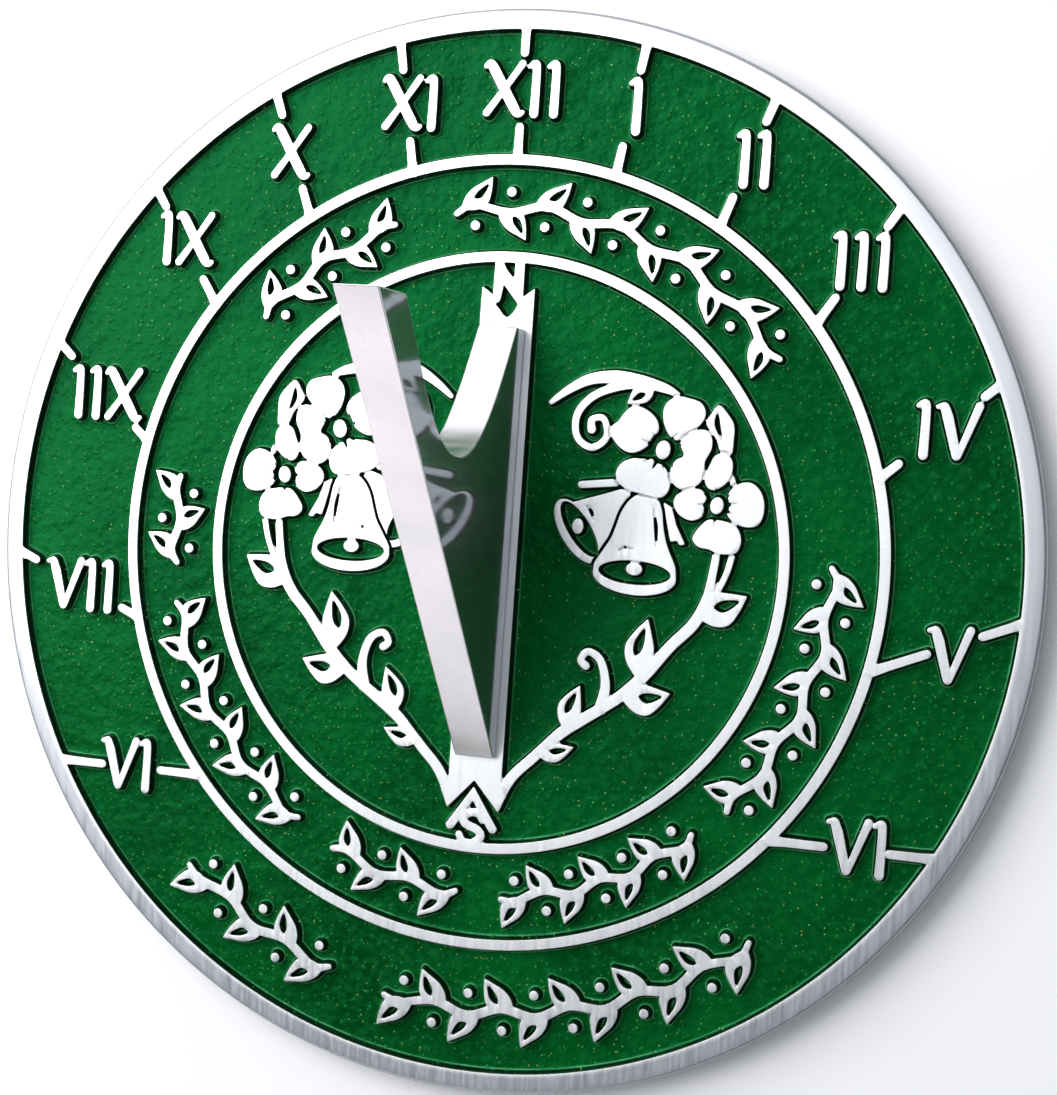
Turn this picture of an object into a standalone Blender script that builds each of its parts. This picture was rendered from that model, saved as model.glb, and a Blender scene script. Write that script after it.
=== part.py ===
"""Garden sundial: a cast aluminium dial filled with green enamel, and a separate gnomon.

Run with: blender --background --python part.py
Frame: +Z up, the dial rests on z = 0, +Y points to north and XII, +X to east and the afternoon.
The plan of the dial is drawn in plan units. The scale PLAN turns them into metres.
"""
import math

import bmesh
import bpy
from mathutils import Matrix, Vector

# Driving dimensions, in metres.
DIAL_DIAMETER = 0.200
PLATE_THICKNESS = 0.006
RELIEF_HEIGHT = 0.0018       # raised tops above the enamel
ENAMEL_THICKNESS = 0.0005
GAP = 0.0003                 # between pieces that touch or nest
RELIEF_OVERLAP = 0.0004      # how deep the relief runs into the plate under it
LOWER_EDGE_CHAMFER = 0.0008   # round the underside of the plate
GNOMON_THICKNESS = 0.0075
GNOMON_EDGE_ROUND = 0.0004
SCREW_RADIUS = 0.0015        # M3
SCREW_HEAD_RADIUS = 0.00275
SCREW_HEAD_HEIGHT = 0.00165
SCREW_HEAD_SINK = 0.00035    # head below the underside of the plate
SCREW_GRIP = 0.0075          # thread length inside the gnomon
SCREW_CHAMFER = 0.0003
WASHER_RADIUS = 0.0035
WASHER_THICKNESS = 0.0005
COUNTERBORE_RADIUS = 0.0038
HEX_SOCKET_RADIUS = 0.0011
HEX_SOCKET_DEPTH = 0.0009
OVERSHOOT = 0.001            # how far a cutter runs past what it cuts

# The plan of the dial, in plan units.
PLAN_DIAMETER = 195.6
PLAN = DIAL_DIAMETER / PLAN_DIAMETER
RIM_OUTER = PLAN_DIAMETER / 2
RIM_INNER = 94.0
OUTER_RING = (69.8, 71.6)
INNER_RING = (52.4, 54.2)
MIDDLE_FIELD_EDGE = 1.0      # where the middle field's halves end under the bar
RIM_ROUND = 1.2
RIM_ROUND_STEPS = 3
MORNING_CENTRE = (0.0, -46.0)     # where the morning hour lines would meet
AFTERNOON_CENTRE = (-1.1, -44.4)  # and the afternoon ones
SIX_LINE_Y = -45.9                # the lines of both six o'clocks
LATITUDE = math.radians(40.0)
NUMERAL_HEIGHT = 10.2
THICK = 1.7                  # stroke widths of the numerals
THIN = 1.35
LINE_WIDTH = 1.6             # width of an hour line
LATHE_STEPS = 60
SMALL_STEPS = 16             # round steps of the screws and washers

# The gnomon's outline, in plan units: (north, height above the bar).
GNOMON_FOOT = -36.7
GNOMON_FOOT_HEIGHT = 1.2
GNOMON_NORTH = 40.5
GNOMON_TIP_HEIGHT = 76.4
GNOMON_TIP_LOWER = 64.0
GNOMON_HEEL_HEIGHT = 4.8
NOTCH_BOTTOM = (16.8, 33.0)
LOWER_CURVE_HANDLES = ((29.2, 12.8), (16.8, 21.5))
UPPER_CURVE_HANDLES = ((16.8, 46.6), (30.6, 54.5))
CURVE_STEPS = 7
SCREW_STATIONS = {"south": -17.0, "north": 21.5}

# Heights that follow.
TOP = PLATE_THICKNESS
ENAMEL_TOP = TOP - RELIEF_HEIGHT
ENAMEL_BOTTOM = ENAMEL_TOP - ENAMEL_THICKNESS
FLOOR = ENAMEL_BOTTOM - GAP
RELIEF_ROOT = FLOOR - RELIEF_OVERLAP
LAYER_STEP = 0.00002         # keeps crossing strokes from sharing one plane
COUNTERBORE_TOP = SCREW_HEAD_SINK + SCREW_HEAD_HEIGHT + GAP + WASHER_THICKNESS + GAP
GNOMON_BASE = TOP + GAP
PLAN_GAP = GAP / PLAN


def clear_scene():
    for item in list(bpy.data.objects):
        bpy.data.objects.remove(item, do_unlink=True)


def new_collection(name):
    collection = bpy.data.collections.new(name)
    bpy.context.scene.collection.children.link(collection)
    return collection


clear_scene()
PARTS = new_collection("garden_sundial")
CUTTERS = new_collection("cutters")


def make_material(name, colour, roughness, metallic):
    material = bpy.data.materials.new(name)
    material.use_nodes = True
    shader = material.node_tree.nodes["Principled BSDF"]
    shader.inputs["Base Color"].default_value = (*colour, 1.0)
    shader.inputs["Roughness"].default_value = roughness
    shader.inputs["Metallic"].default_value = metallic
    material.diffuse_color = (*colour, 1.0)
    return material


def add_part(name, mesh, colour, roughness, metallic):
    part = bpy.data.objects.new(name, mesh)
    PARTS.objects.link(part)
    part.data.materials.append(make_material(name, colour, roughness, metallic))
    return part


# Plan geometry: outlines are lists of (x, y) in plan units.

def spline(points, per_span=2):
    """A smooth line through the points, as a Catmull-Rom spline."""
    ends = [points[0]] + list(points) + [points[-1]]
    line = []
    for p0, p1, p2, p3 in zip(ends, ends[1:], ends[2:], ends[3:]):
        for step in range(per_span):
            t = step / per_span
            line.append(tuple(
                0.5 * (2 * b + (c - a) * t + (2 * a - 5 * b + 4 * c - d) * t * t
                       + (3 * b - a - 3 * c + d) * t ** 3)
                for a, b, c, d in zip(p0, p1, p2, p3)))
    return line + [points[-1]]


def cubic(p0, p1, p2, p3, steps):
    """Points along a cubic curve, without its last one."""
    line = []
    for step in range(steps):
        t = step / steps
        s = 1.0 - t
        line.append(tuple(a * s ** 3 + 3 * b * s * s * t + 3 * c * s * t * t + d * t ** 3
                          for a, b, c, d in zip(p0, p1, p2, p3)))
    return line


def side_offset(line, index, distance):
    """The point beside line[index], to its left, at the given distance."""
    before = Vector(line[max(index - 1, 0)])
    after = Vector(line[min(index + 1, len(line) - 1)])
    along = (after - before).normalized()
    here = Vector(line[index])
    return (here.x - along.y * distance, here.y + along.x * distance)


def stroke(line, start_width, end_width=None):
    """The outline of a stroke along a line, with square ends."""
    end_width = start_width if end_width is None else end_width
    last = len(line) - 1
    halves = [(start_width + (end_width - start_width) * i / last) / 2 for i in range(last + 1)]
    right = [side_offset(line, i, -halves[i]) for i in range(last + 1)]
    left = [side_offset(line, i, halves[i]) for i in range(last, -1, -1)]
    return right + left


def grow(outline, distance):
    """The outline moved outwards by a distance, with mitred corners."""
    area = sum(a[0] * b[1] - b[0] * a[1] for a, b in zip(outline, outline[1:] + outline[:1]))
    turn = 1.0 if area > 0 else -1.0
    grown = []
    for i, point in enumerate(outline):
        before = (Vector(point) - Vector(outline[i - 1])).normalized()
        after = (Vector(outline[(i + 1) % len(outline)]) - Vector(point)).normalized()
        normal_a = Vector((before.y, -before.x)) * turn
        normal_b = Vector((after.y, -after.x)) * turn
        mitre = (normal_a + normal_b) / max(1.0 + normal_a.dot(normal_b), 0.35)
        grown.append(tuple(Vector(point) + mitre * distance))
    return grown


def mirrored(outline):
    return [(-x, y) for x, y in reversed(outline)]


def both_sides(outlines):
    return outlines + [mirrored(outline) for outline in outlines]


def placed(outline, centre, turn=0.0, scale=1.0):
    """The outline scaled, turned by an angle in degrees, and moved to a centre."""
    c = math.cos(math.radians(turn)) * scale
    s = math.sin(math.radians(turn)) * scale
    return [(centre[0] + c * x - s * y, centre[1] + s * x + c * y) for x, y in outline]


# Hour lines and numerals.

def hour_direction(hour):
    """The direction of an hour line, for hours counted from noon."""
    if abs(hour) == 6:
        return Vector((math.copysign(1.0, hour), 0.0))
    angle = math.atan(math.sin(LATITUDE) * math.tan(math.radians(15.0 * hour)))
    return Vector((math.sin(angle), math.cos(angle)))


def hour_tick(hour, radius, length):
    """One piece of an hour line: from the circle of a radius, along the line by a length."""
    direction = hour_direction(hour)
    centre = Vector(AFTERNOON_CENTRE if hour > 0 else MORNING_CENTRE)
    if abs(hour) == 6:
        centre = Vector((0.0, SIX_LINE_Y))
    along = centre.dot(direction)
    reach = -along + math.sqrt(along ** 2 - centre.length_squared + radius ** 2)
    start = centre + direction * reach
    return stroke([tuple(start), tuple(start + direction * length)], LINE_WIDTH)


# (hours from noon, numeral, its centre, length of the outer tick, length of the inner tick)
HOURS = [
    (-6, "VI", (-69.0, -45.4), 8.2, 7.3),
    (-5, "VII", (-81.0, -12.2), 3.5, 3.0),
    (-4, "IIX", (-77.7, 24.4), 3.1, 2.7),
    (-3, "IX", (-63.2, 54.2), 3.4, 4.5),
    (-2, "X", (-43.6, 71.0), 3.9, 4.7),
    (-1, "XI", (-21.0, 80.4), 4.8, 4.7),
    (0, "XII", (0.0, 83.3), 4.3, 4.9),
    (1, "I", (21.3, 80.6), 4.5, 4.4),
    (2, "II", (43.0, 71.9), 3.9, 4.8),
    (3, "III", (62.9, 55.0), 3.7, 4.9),
    (4, "IV", (79.6, 27.0), 2.9, 3.4),
    (5, "V", (82.5, -11.0), 6.7, 9.6),
    (6, "VI", (69.4, -45.4), 7.2, 9.0),
]
TICK_OVERLAP = 0.9           # how far a tick runs into its ring
GLYPH_HALF_WIDTH = {"I": 0.85, "V": 3.4, "X": 3.6}
GLYPH_SPACING = {"II": 3.65, "IX": 5.6, "XI": 5.75, "IV": 5.6, "VI": 5.7}


def slanted(x_top, x_bottom, width, trim=0.0):
    """A slanted stroke of a numeral, with level ends; trim shortens it at the bottom."""
    half = NUMERAL_HEIGHT / 2
    return [(x_bottom - width / 2, trim - half), (x_bottom + width / 2, trim - half),
            (x_top + width / 2, half), (x_top - width / 2, half)]


def glyph(letter):
    """The strokes of one numeral letter, each in a layer of its own."""
    half = NUMERAL_HEIGHT / 2
    if letter == "I":
        return [[(-THICK / 2, -half), (THICK / 2, -half), (THICK / 2, half), (-0.3, half),
                 (-1.5, half - 0.7), (-1.4, half - 1.2), (-THICK / 2, half - 1.1)]]
    if letter == "V":
        return [slanted(-2.6, 0.0, THICK + 0.2), slanted(2.8, 0.2, THIN, 0.4)]
    return [slanted(-2.8, 2.8, THICK + 0.3), slanted(2.9, -3.0, THIN + 0.2)]


def numeral(letters, centre):
    """A roman numeral as a list of layers."""
    stations = [0.0]
    for pair in zip(letters, letters[1:]):
        stations.append(stations[-1] + GLYPH_SPACING["".join(pair)])
    left = -GLYPH_HALF_WIDTH[letters[0]]
    right = stations[-1] + GLYPH_HALF_WIDTH[letters[-1]]
    middle = (left + right) / 2
    layers = [[], []]
    for letter, station in zip(letters, stations):
        for layer, outline in zip(layers, glyph(letter)):
            layer.append(placed(outline, (centre[0] + station - middle, centre[1])))
    return layers


# The compass bar under the gnomon, with N at its north end and S at its south end.

def bar_outline():
    """The bar: two horns at the north end, and a notch between two points at the south end."""
    return [(-5.0, 47.8), (-3.2, 46.0), (0.0, 42.4), (3.2, 46.0), (5.0, 47.8),
            (5.1, -40.0), (4.8, -46.5), (0.0, -41.0), (-4.8, -46.5), (-5.1, -40.0)][::-1]


def north_letter():
    """N, from the bar up into the inner ring."""
    return [stroke([(-2.0, 43.6), (-2.0, 53.2)], 1.6),
            stroke([(2.0, 43.6), (2.0, 53.2)], 1.6),
            stroke([(-1.8, 52.8), (1.8, 46.0)], 1.5)]


def south_letter():
    """S, standing on the inner ring, under a chevron."""
    s_line = spline([(2.0, -47.9), (0.2, -47.0), (-1.8, -48.0), (0.0, -49.4), (2.0, -50.8),
                     (0.2, -52.2), (-2.0, -51.6)], 2)
    chevron = [(0.0, -42.3), (-4.9, -49.9), (-3.5, -50.0), (0.0, -44.8), (3.5, -50.0), (4.9, -49.9)]
    return stroke(s_line, 1.3), chevron


# The heart-shaped garland: the east half is drawn, and the west half mirrors it.

def leaf(base, tip, width):
    """A pointed leaf from its base to its tip."""
    line = Vector(tip) - Vector(base)
    side = Vector((-line.y, line.x)).normalized() * width / 2
    start = Vector(base)
    return [tuple(start - side * 0.35), tuple(start + line * 0.45 - side), tuple(tip),
            tuple(start + line * 0.45 + side), tuple(start + side * 0.35)]


def blossom(centre, reach, petals, turn):
    """A blossom with broad petals, three points to a petal."""
    step = 360.0 / petals
    outline = []
    for petal in range(petals):
        for offset, distance in ((-0.5, 0.62), (-0.27, 1.0), (0.27, 1.0)):
            angle = math.radians(turn + (petal + offset) * step)
            outline.append((centre[0] + reach * distance * math.cos(angle),
                            centre[1] + reach * distance * math.sin(angle)))
    return outline


def bell_outline():
    """A bell that hangs from the origin, with its mouth at y = -15."""
    right = [(2.3, 0.0), (3.3, -4.0), (4.6, -9.0), (7.1, -13.2), (6.0, -15.4), (2.5, -16.7)]
    return [(-x, y) for x, y in right] + right[::-1]


def garland_layers():
    lower_stem = stroke(spline([(41.5, 3.5), (40.6, -6.0), (35.0, -13.0), (27.5, -20.4),
                                (16.0, -31.0), (7.2, -38.6), (4.4, -42.0)], 1), 1.6, 2.4)
    upper_stem = stroke(spline([(9.4, 28.6), (14.6, 32.3), (21.0, 33.4), (27.5, 32.8),
                                (32.4, 30.2)]), 1.0, 2.0)
    curl = stroke(spline([(20.6, 33.2), (15.2, 29.6), (14.0, 24.8), (17.0, 21.0),
                          (19.9, 22.8), (18.0, 25.2)]), 1.2)
    tendril = stroke(spline([(22.3, -25.6), (22.4, -20.4), (20.6, -16.6), (18.4, -17.6)]), 1.4)
    ribbon = stroke([(32.6, 12.0), (35.4, 5.0)], 1.8)
    layer_0 = [lower_stem, upper_stem, placed(bell_outline(), (24.6, 12.4), -52.0, 0.86)]
    layer_1 = [curl, tendril, placed(bell_outline(), (27.0, 13.0)),
               leaf((41.6, 17.6), (40.8, 28.8), 3.8),
               leaf((39.6, -8.4), (46.6, -3.8), 5.0),
               leaf((30.0, -17.0), (29.8, -9.4), 4.6),
               leaf((27.0, -21.6), (34.4, -22.4), 4.4),
               leaf((16.6, -31.2), (18.2, -22.4), 4.2),
               leaf((11.8, -34.4), (17.8, -33.6), 3.4)]
    layer_2 = [blossom((30.4, 20.6), 8.8, 4, 62.0), ribbon]
    layer_3 = [blossom((40.6, 11.5), 7.8, 4, 5.0)]
    return [both_sides(layer) for layer in (layer_0, layer_1, layer_2, layer_3)]


# Sprigs along the bands. Each is a wavy stem with leaves on alternate sides.
# (radius, first bearing, last bearing, number of leaves); bearings run clockwise from north.
SPRIGS = [
    (62.0, -49.0, -21.0, 5),
    (62.0, -10.0, 53.0, 10),
    (62.0, 88.0, 132.0, 8),
    (62.0, 139.0, 174.0, 7),
    (62.0, 182.0, 205.0, 4),
    (62.0, 213.0, 257.0, 8),
    (62.0, 264.0, 279.0, 3),
    (83.0, 141.0, 190.0, 11),
    (83.0, 198.0, 221.0, 5),
]
SPRIG_WAVE = 1.5
SPRIG_WIDTH = 1.5
SPRIG_LEAF = 4.6


def polar(radius, bearing):
    angle = math.radians(bearing)
    return (radius * math.sin(angle), radius * math.cos(angle))


def sprig(radius, first, last, leaves):
    """The stem and the leaves of one sprig."""
    step = (last - first) / leaves
    stem_line = [polar(radius, first)]
    leaf_outlines = []
    for i in range(leaves):
        bearing = first + (i + 0.5) * step
        side = 1.0 if i % 2 == 0 else -1.0
        stem_line.append(polar(radius + side * SPRIG_WAVE, bearing))
        base = polar(radius + side * SPRIG_WAVE, bearing - 0.05 * step)
        tip = polar(radius + side * (SPRIG_WAVE + SPRIG_LEAF), bearing + 0.35 * step)
        leaf_outlines.append(leaf(base, tip, 3.2))
    stem_line.append(polar(radius, last))
    return stroke(stem_line, SPRIG_WIDTH), leaf_outlines


def relief_layers():
    """Every raised outline, in layers. Inside one layer no two outlines touch."""
    layers = garland_layers()
    for hour, letters, centre, outer_length, inner_length in HOURS:
        strokes, cross_strokes = numeral(letters, centre)
        layers[0] += strokes
        layers[1] += cross_strokes
        layers[2].append(hour_tick(hour, RIM_INNER + TICK_OVERLAP, -outer_length - TICK_OVERLAP))
        layers[2].append(hour_tick(hour, OUTER_RING[1] - TICK_OVERLAP, inner_length + TICK_OVERLAP))
    for radius, first, last, leaves in SPRIGS:
        stem, leaf_outlines = sprig(radius, first, last, leaves)
        layers[0].append(stem)
        layers[1] += leaf_outlines
    layers[3].append(bar_outline())
    west_stem, east_stem, diagonal = north_letter()
    layers[0] += [west_stem, east_stem]
    layers[1].append(diagonal)
    s_stroke, chevron = south_letter()
    layers[0].append(chevron)
    layers[1].append(s_stroke)
    return layers


# Solids.

def prism(name, outlines, low, high):
    """One cutter or relief mesh from outlines, between two heights in metres."""
    curve = bpy.data.curves.new(name, "CURVE")
    curve.dimensions = "2D"
    curve.fill_mode = "BOTH"
    curve.extrude = (high - low) / 2
    for outline in outlines:
        line = curve.splines.new("POLY")
        line.points.add(len(outline) - 1)
        for point, (x, y) in zip(line.points, outline):
            point.co = (x * PLAN, y * PLAN, 0.0, 1.0)
        line.use_cyclic_u = True
    source = bpy.data.objects.new(name, curve)
    mesh = bpy.data.meshes.new_from_object(source)
    bpy.data.objects.remove(source, do_unlink=True)
    tidy_mesh(mesh)
    mesh.transform(Matrix.Translation((0.0, 0.0, (low + high) / 2)))
    return mesh


def tidy_mesh(mesh):
    shape = bmesh.new()
    shape.from_mesh(mesh)
    bmesh.ops.remove_doubles(shape, verts=shape.verts, dist=1e-7)
    bmesh.ops.recalc_face_normals(shape, faces=shape.faces)
    shape.to_mesh(mesh)
    shape.free()


def turned(name, profile, steps, closed=False):
    """A turned mesh; the profile is (radius, height) in metres.

    It is turned by half a step, so that no facet edge lies on the X or Y axis.
    """
    mesh = bpy.data.meshes.new(name)
    points = [(radius, 0.0, height) for radius, height in profile]
    edges = [(i, i + 1) for i in range(len(points) - 1)]
    if closed:
        edges.append((len(points) - 1, 0))
    mesh.from_pydata(points, edges, [])
    source = bpy.data.objects.new(name, mesh)
    screw = source.modifiers.new("Screw", "SCREW")
    screw.steps = steps
    screw.render_steps = steps
    screw.use_merge_vertices = True
    screw.merge_threshold = 0.00001
    screw.use_smooth_shade = False
    CUTTERS.objects.link(source)
    bpy.context.view_layer.update()
    graph = bpy.context.evaluated_depsgraph_get()
    turned_mesh = bpy.data.meshes.new_from_object(source.evaluated_get(graph))
    bpy.data.objects.remove(source, do_unlink=True)
    tidy_mesh(turned_mesh)
    turned_mesh.transform(Matrix.Rotation(math.pi / steps, 4, "Z"))
    return turned_mesh


def add_cutter(name, mesh):
    cutter = bpy.data.objects.new(name, mesh)
    cutter.hide_render = True
    cutter.display_type = "WIRE"
    CUTTERS.objects.link(cutter)
    return cutter


def combine(target, cutter, operation):
    modifier = target.modifiers.new(cutter.name, "BOOLEAN")
    modifier.operation = operation
    modifier.solver = "EXACT"
    modifier.object = cutter


def cylinder(radius, low, high, sides=SMALL_STEPS):
    """An upright cylinder mesh between two heights."""
    mesh = bpy.data.meshes.new("cylinder")
    shape = bmesh.new()
    bmesh.ops.create_cone(shape, cap_ends=True, segments=sides, radius1=radius, radius2=radius,
                          depth=high - low,
                          matrix=Matrix.Translation((0.0, 0.0, (low + high) / 2)))
    shape.to_mesh(mesh)
    shape.free()
    return mesh


def moved(mesh, x, y, z=0.0):
    mesh.transform(Matrix.Translation((x, y, z)))
    return mesh


def smooth_round(part, angle=35.0):
    part.data.shade_smooth()
    part.data.set_sharp_from_angle(angle=math.radians(angle))


def plate_profile():
    """The casting's profile, from the top of its middle round to its underside."""
    rim_round = RIM_ROUND * PLAN
    outer = RIM_OUTER * PLAN
    profile = [(0.0, FLOOR)]
    for low, high in (INNER_RING, OUTER_RING):
        profile += [(low * PLAN, FLOOR), (low * PLAN, TOP), (high * PLAN, TOP), (high * PLAN, FLOOR)]
    profile += [(RIM_INNER * PLAN, FLOOR), (RIM_INNER * PLAN, TOP)]
    for step in range(RIM_ROUND_STEPS + 1):
        angle = math.pi / 2 * (1 - step / RIM_ROUND_STEPS)
        profile.append((outer - rim_round + rim_round * math.cos(angle),
                        TOP - rim_round + rim_round * math.sin(angle)))
    profile += [(outer, LOWER_EDGE_CHAMFER), (outer - LOWER_EDGE_CHAMFER, 0.0), (0.0, 0.0)]
    return profile


def make_dial_plate(relief):
    plate = add_part("dial_plate", turned("dial_plate", plate_profile(), LATHE_STEPS),
                     (0.80, 0.80, 0.83), 0.35, 1.0)
    for relief_solid in relief:
        combine(plate, relief_solid, "UNION")
    for side, station in SCREW_STATIONS.items():
        y = station * PLAN
        bore = cylinder(COUNTERBORE_RADIUS, -OVERSHOOT, COUNTERBORE_TOP)
        hole = cylinder(SCREW_RADIUS + GAP, -OVERSHOOT, TOP + OVERSHOOT)
        combine(plate, add_cutter("counterbore_" + side, moved(bore, 0.0, y)), "DIFFERENCE")
        combine(plate, add_cutter("screw_hole_" + side, moved(hole, 0.0, y)), "DIFFERENCE")


def make_enamel(name, mesh, cutters):
    enamel = add_part(name, mesh, (0.0, 0.13, 0.045), 0.35, 0.0)
    for cutter in cutters:
        combine(enamel, cutter, "DIFFERENCE")


def band(name, inner, outer):
    """A flat ring of enamel between two radii in plan units, clear of both walls."""
    low = inner * PLAN + GAP
    high = outer * PLAN - GAP
    return turned(name, [(high, ENAMEL_TOP), (high, ENAMEL_BOTTOM), (low, ENAMEL_BOTTOM),
                         (low, ENAMEL_TOP)], LATHE_STEPS, closed=True)


def half_disc(name, side):
    """The east or west half of the middle field; the bar covers the strip between them."""
    radius = INNER_RING[0] * PLAN - GAP
    edge = side * MIDDLE_FIELD_EDGE * PLAN
    mesh = turned(name, [(0.0, ENAMEL_TOP), (radius, ENAMEL_TOP), (radius, ENAMEL_BOTTOM),
                         (0.0, ENAMEL_BOTTOM)], LATHE_STEPS)
    shape = bmesh.new()
    shape.from_mesh(mesh)
    everything = list(shape.verts) + list(shape.edges) + list(shape.faces)
    cut = bmesh.ops.bisect_plane(shape, geom=everything, plane_co=(edge, 0.0, 0.0),
                                 plane_no=(side, 0.0, 0.0), clear_inner=True)
    rim_edges = [item for item in cut["geom_cut"] if isinstance(item, bmesh.types.BMEdge)]
    bmesh.ops.edgeloop_fill(shape, edges=rim_edges)
    bmesh.ops.recalc_face_normals(shape, faces=shape.faces)
    shape.to_mesh(mesh)
    shape.free()
    return mesh


def gnomon_profile():
    """The gnomon's outline, seen from the east: (north, height), in plan units."""
    foot = [(GNOMON_FOOT, 0.0), (GNOMON_NORTH, 0.0)]
    heel = (GNOMON_NORTH, GNOMON_HEEL_HEIGHT)
    under_tip = (GNOMON_NORTH, GNOMON_TIP_LOWER)
    lower_curve = cubic(heel, *LOWER_CURVE_HANDLES, NOTCH_BOTTOM, CURVE_STEPS)
    upper_curve = cubic(NOTCH_BOTTOM, *UPPER_CURVE_HANDLES, under_tip, CURVE_STEPS)
    tip = [under_tip, (GNOMON_NORTH, GNOMON_TIP_HEIGHT), (GNOMON_FOOT, GNOMON_FOOT_HEIGHT)]
    return foot + lower_curve + upper_curve + tip


def make_gnomon():
    half = GNOMON_THICKNESS / 2
    mesh = prism("gnomon", [gnomon_profile()], -half, half)
    stand_up = Matrix(((0, 0, 1, 0), (1, 0, 0, 0), (0, 1, 0, 0), (0, 0, 0, 1)))
    mesh.transform(Matrix.Translation((0.0, 0.0, GNOMON_BASE)) @ stand_up)
    gnomon = add_part("gnomon", mesh, (0.86, 0.86, 0.88), 0.2, 1.0)
    bevel = gnomon.modifiers.new("Bevel", "BEVEL")
    bevel.width = GNOMON_EDGE_ROUND
    bevel.segments = 2
    bevel.limit_method = "ANGLE"
    bevel.angle_limit = math.radians(50.0)
    for side, station in SCREW_STATIONS.items():
        hole = cylinder(SCREW_RADIUS + GAP, TOP - OVERSHOOT, GNOMON_BASE + SCREW_GRIP + GAP)
        cutter = add_cutter("thread_hole_" + side, moved(hole, 0.0, station * PLAN))
        combine(gnomon, cutter, "DIFFERENCE")


def make_fixing(side, station):
    """A screw from below and its washer, at a station along the bar."""
    y = station * PLAN
    head_top = SCREW_HEAD_SINK + SCREW_HEAD_HEIGHT
    edge = SCREW_CHAMFER
    screw_mesh = turned("screw", [
        (0.0, GNOMON_BASE + SCREW_GRIP), (SCREW_RADIUS - edge, GNOMON_BASE + SCREW_GRIP),
        (SCREW_RADIUS, GNOMON_BASE + SCREW_GRIP - edge), (SCREW_RADIUS, head_top),
        (SCREW_HEAD_RADIUS, head_top), (SCREW_HEAD_RADIUS, SCREW_HEAD_SINK + 2 * edge),
        (SCREW_HEAD_RADIUS - 2 * edge, SCREW_HEAD_SINK), (0.0, SCREW_HEAD_SINK)], SMALL_STEPS)
    screw = add_part("gnomon_screw_" + side, moved(screw_mesh, 0.0, y),
                     (0.55, 0.55, 0.57), 0.3, 1.0)
    socket = cylinder(HEX_SOCKET_RADIUS, -OVERSHOOT, SCREW_HEAD_SINK + HEX_SOCKET_DEPTH, 6)
    combine(screw, add_cutter("hex_socket_" + side, moved(socket, 0.0, y)), "DIFFERENCE")
    low = head_top + GAP
    high = low + WASHER_THICKNESS
    inner = SCREW_RADIUS + GAP
    washer_mesh = turned("washer", [(WASHER_RADIUS, high), (WASHER_RADIUS, low), (inner, low),
                                    (inner, high)], SMALL_STEPS, closed=True)
    washer = add_part("gnomon_washer_" + side, moved(washer_mesh, 0.0, y),
                      (0.62, 0.62, 0.64), 0.35, 1.0)
    smooth_round(screw)
    smooth_round(washer)


def main():
    layers = relief_layers()
    relief = []
    cutters = []
    for i, outlines in enumerate(layers):
        drop = LAYER_STEP * (i + 1)
        solid = prism("relief", outlines, RELIEF_ROOT - drop, TOP - drop)
        relief.append(add_cutter("relief_%d" % i, solid))
        grown = [grow(outline, PLAN_GAP) for outline in outlines]
        cutters.append(add_cutter("enamel_cutter_%d" % i,
                                  prism("cutter", grown, FLOOR - drop, TOP + drop)))
    make_dial_plate(relief)
    make_enamel("outer_enamel", band("outer_enamel", OUTER_RING[1], RIM_INNER), cutters)
    make_enamel("middle_enamel", band("middle_enamel", INNER_RING[1], OUTER_RING[0]), cutters)
    make_enamel("centre_enamel_east", half_disc("centre_enamel_east", 1.0), cutters)
    make_enamel("centre_enamel_west", half_disc("centre_enamel_west", -1.0), cutters)
    make_gnomon()
    for side, station in SCREW_STATIONS.items():
        make_fixing(side, station)


main()
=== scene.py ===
"""Garden sundial: the looks of the cast dial, its enamel and its gnomon.

The plan of the dial is drawn as raised and sunk outlines. The casting and the enamel are sheets
through rows of points that follow those outlines, at heights that depend on the distance to them.
"""
import math

import bmesh
import bpy
from mathutils import Matrix, Vector, noise
from mathutils.bvhtree import BVHTree
from mathutils.geometry import delaunay_2d_cdt


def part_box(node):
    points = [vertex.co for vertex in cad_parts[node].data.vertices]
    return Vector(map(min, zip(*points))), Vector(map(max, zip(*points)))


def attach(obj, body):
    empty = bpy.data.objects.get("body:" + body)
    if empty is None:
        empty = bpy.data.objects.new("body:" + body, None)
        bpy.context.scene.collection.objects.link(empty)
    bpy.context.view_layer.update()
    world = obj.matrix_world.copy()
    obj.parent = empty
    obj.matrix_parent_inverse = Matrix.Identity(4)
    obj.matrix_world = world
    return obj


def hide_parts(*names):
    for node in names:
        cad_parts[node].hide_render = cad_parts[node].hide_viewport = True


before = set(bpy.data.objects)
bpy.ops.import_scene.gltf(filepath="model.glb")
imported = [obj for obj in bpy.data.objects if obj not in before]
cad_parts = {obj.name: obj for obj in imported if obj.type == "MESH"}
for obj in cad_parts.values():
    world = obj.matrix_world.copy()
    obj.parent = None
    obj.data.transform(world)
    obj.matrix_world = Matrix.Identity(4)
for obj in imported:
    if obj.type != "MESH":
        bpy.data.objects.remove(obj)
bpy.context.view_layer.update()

# ---------------------------------------- sizes from the frame
PLATE_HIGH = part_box("dial_plate")[1]
GNOMON_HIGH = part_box("gnomon")[1]
ENAMEL_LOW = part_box("outer_enamel")[0].z
ENAMEL_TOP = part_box("outer_enamel")[1].z
TOP = PLATE_HIGH.z
FLOOR = ENAMEL_LOW - 0.0003  # the casting's own floor, under the enamel
PLAN_RADIUS = 97.8  # the plan of the dial is drawn in plan units
PLAN = PLATE_HIGH.x / PLAN_RADIUS  # metres to a plan unit
MM = 0.001

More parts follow.
